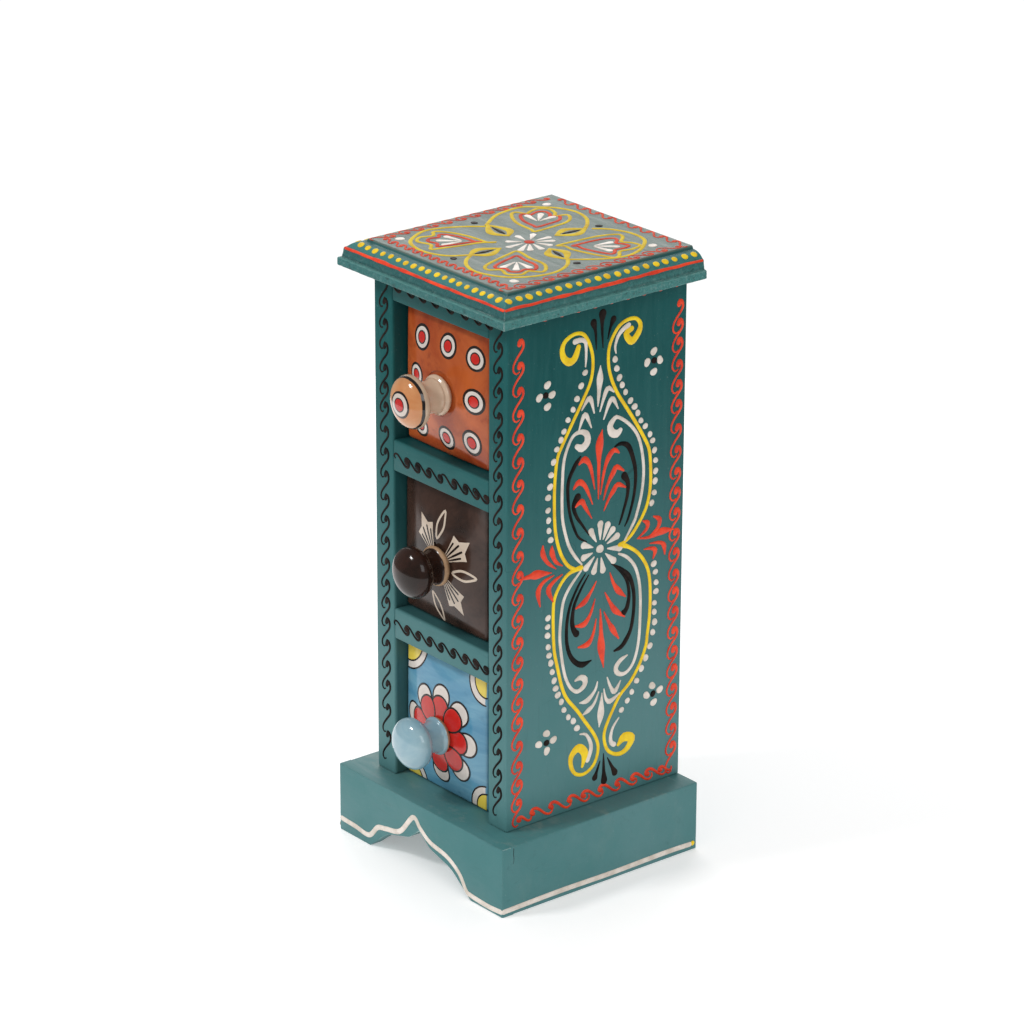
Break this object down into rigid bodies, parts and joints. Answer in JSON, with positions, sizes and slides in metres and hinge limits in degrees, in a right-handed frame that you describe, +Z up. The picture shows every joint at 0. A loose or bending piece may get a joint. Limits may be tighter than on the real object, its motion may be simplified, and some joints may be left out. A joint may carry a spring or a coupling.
{
  "type": "tabletop drawer tower",
  "caption": "Tall narrow painted wooden cabinet on a scalloped plinth, with a moulded top and stacked glazed ceramic drawers with round ceramic knobs.",
  "frame": {"origin": "on the ground, under the middle of the whole outline, knobs and plinth included", "axes": "+Z up, drawers open towards -Y, +X to the right as seen from the front"},
  "size_m": [0.1152, 0.119, 0.2769],
  "materials": {
    "teal_paint": "hand-painted, semi-matt",
    "steel": "plated",
    "amber_glaze": "glossy, mottled",
    "peach_glaze": "glossy",
    "black_glaze": "glossy",
    "blue_glaze": "glossy, brushed"
  },
  "bodies": {
    "cabinet": {"top_board": "teal_paint", "cabinet_top": "teal_paint", "left_side": "teal_paint", "right_side": "teal_paint", "back_panel": "teal_paint", "upper_shelf": "teal_paint", "lower_shelf": "teal_paint", "base_board": "teal_paint", "plinth_front": "teal_paint", "plinth_left": "teal_paint", "plinth_right": "teal_paint", "plinth_back": "teal_paint", "top_nails": "steel", "side_nails": "steel", "base_nails": "steel", "plinth_nails": "steel", "back_pins": "steel"},
    "upper_drawer": {"upper_drawer_box": "amber_glaze", "upper_knob": "peach_glaze", "upper_knob_stud": "steel", "upper_knob_washer": "steel", "upper_knob_nut": "steel"},
    "middle_drawer": {"middle_drawer_box": "black_glaze", "middle_knob": "black_glaze", "middle_knob_stud": "steel", "middle_knob_washer": "steel", "middle_knob_nut": "steel"},
    "lower_drawer": {"lower_drawer_box": "blue_glaze", "lower_knob": "blue_glaze", "lower_knob_stud": "steel", "lower_knob_washer": "steel", "lower_knob_nut": "steel"}
  },
  "joints": [
    {"name": "upper_drawer_slide", "type": "slide", "parent": "cabinet", "child": "upper_drawer", "axis": [0, -1, 0], "range_m": [0, 0.085]},
    {"name": "middle_drawer_slide", "type": "slide", "parent": "cabinet", "child": "middle_drawer", "axis": [0, -1, 0], "range_m": [0, 0.085]},
    {"name": "lower_drawer_slide", "type": "slide", "parent": "cabinet", "child": "lower_drawer", "axis": [0, -1, 0], "range_m": [0, 0.085]}
  ]
}
